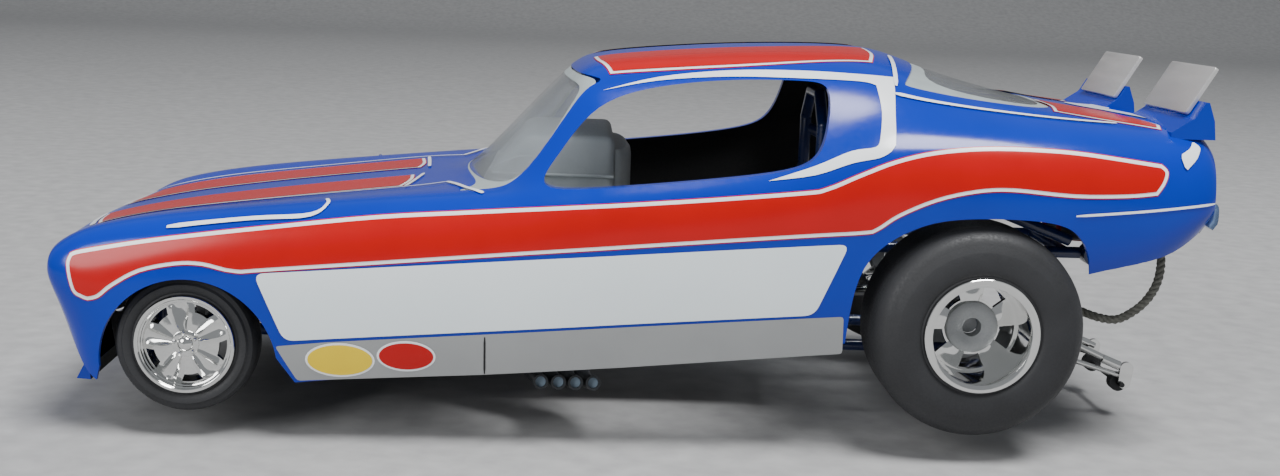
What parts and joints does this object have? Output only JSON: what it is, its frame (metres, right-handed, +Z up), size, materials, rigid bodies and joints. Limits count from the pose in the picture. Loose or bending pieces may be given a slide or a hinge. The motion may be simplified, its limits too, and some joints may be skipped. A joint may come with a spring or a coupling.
{
  "type": "scale model of a flip-top drag racing car",
  "caption": "Static display model of a flip-top drag racing car: a tilting one-piece body on a tube frame with narrow front wheels and wide rear slicks.",
  "frame": {"origin": "on the ground under the centre of the bounding box", "axes": "+X towards the tail, +Y to the car's right side, +Z up"},
  "size_m": [0.1872, 0.0766, 0.0595],
  "materials": {
    "blue_enamel": "gloss",
    "clear_styrene": "clear",
    "satin_black": "satin",
    "bright_chrome": "polished",
    "lamp_red": "gloss",
    "pale_blue_enamel": "gloss",
    "polished_aluminium": "brushed",
    "frame_enamel": "gloss",
    "cast_metal": "satin",
    "tin_grey": "satin",
    "red_strap": "matte",
    "pack_cloth": "matte",
    "rope_fibre": "twisted",
    "tyre_rubber": "matte"
  },
  "bodies": {
    "root": {"frame_left": "frame_enamel", "frame_right": "frame_enamel", "cross_tubes": "frame_enamel", "roll_cage": "frame_enamel", "floor_pan": "polished_aluminium", "hinge_eyes": "frame_enamel", "front_axle": "bright_chrome", "spindle_left": "bright_chrome", "spindle_right": "bright_chrome", "radius_rods": "bright_chrome", "rear_axle": "cast_metal", "drive_shaft": "bright_chrome", "engine_block": "blue_enamel", "valve_covers": "bright_chrome", "blower": "cast_metal", "injector": "bright_chrome", "headers_left": "satin_black", "headers_right": "satin_black", "gearbox": "cast_metal", "fuel_tank": "cast_metal", "cockpit_tin": "tin_grey", "dash_cowl": "tin_grey", "seat": "satin_black", "harness": "red_strap", "steering_wheel": "satin_black", "chute_pack": "pack_cloth", "tow_rope": "rope_fibre", "wheelie_bar": "bright_chrome"},
    "tilt_body": {"body_shell": "blue_enamel", "windshield": "clear_styrene", "rear_window": "clear_styrene", "grille": "satin_black", "headlamps": "bright_chrome", "tail_lamps": "lamp_red", "rear_bumper": "pale_blue_enamel", "spoiler_plates": "polished_aluminium", "body_hinge_arms": "frame_enamel"},
    "front_left_wheel": {"front_tyre_left": "tyre_rubber", "front_wheel_left": "bright_chrome"},
    "front_right_wheel": {"front_tyre_right": "tyre_rubber", "front_wheel_right": "bright_chrome"},
    "rear_left_wheel": {"rear_tyre_left": "tyre_rubber", "rear_wheel_left": "bright_chrome"},
    "rear_right_wheel": {"rear_tyre_right": "tyre_rubber", "rear_wheel_right": "bright_chrome"},
    "wheelie_casters": {"wheelie_wheels": "tyre_rubber"}
  },
  "joints": [
    {"name": "body_tilt", "type": "hinge", "parent": "root", "child": "tilt_body", "pos_m": [0.079, 0, 0.0255], "axis": [0, 1, 0], "range_deg": [0, 30]},
    {"name": "front_left_spin", "type": "hinge", "parent": "root", "child": "front_left_wheel", "pos_m": [-0.0705, -0.0299, 0.011], "axis": [0, 1, 0], "continuous": true},
    {"name": "front_right_spin", "type": "hinge", "parent": "root", "child": "front_right_wheel", "pos_m": [-0.0705, 0.0299, 0.011], "axis": [0, 1, 0], "continuous": true},
    {"name": "rear_left_spin", "type": "hinge", "parent": "root", "child": "rear_left_wheel", "pos_m": [0.053, -0.0303, 0.0169], "axis": [0, 1, 0], "continuous": true},
    {"name": "rear_right_spin", "type": "hinge", "parent": "root", "child": "rear_right_wheel", "pos_m": [0.053, 0.0303, 0.0169], "axis": [0, 1, 0], "continuous": true},
    {"name": "wheelie_spin", "type": "hinge", "parent": "root", "child": "wheelie_casters", "pos_m": [0.087, 0, 0.0019], "axis": [0, 1, 0], "continuous": true}
  ]
}
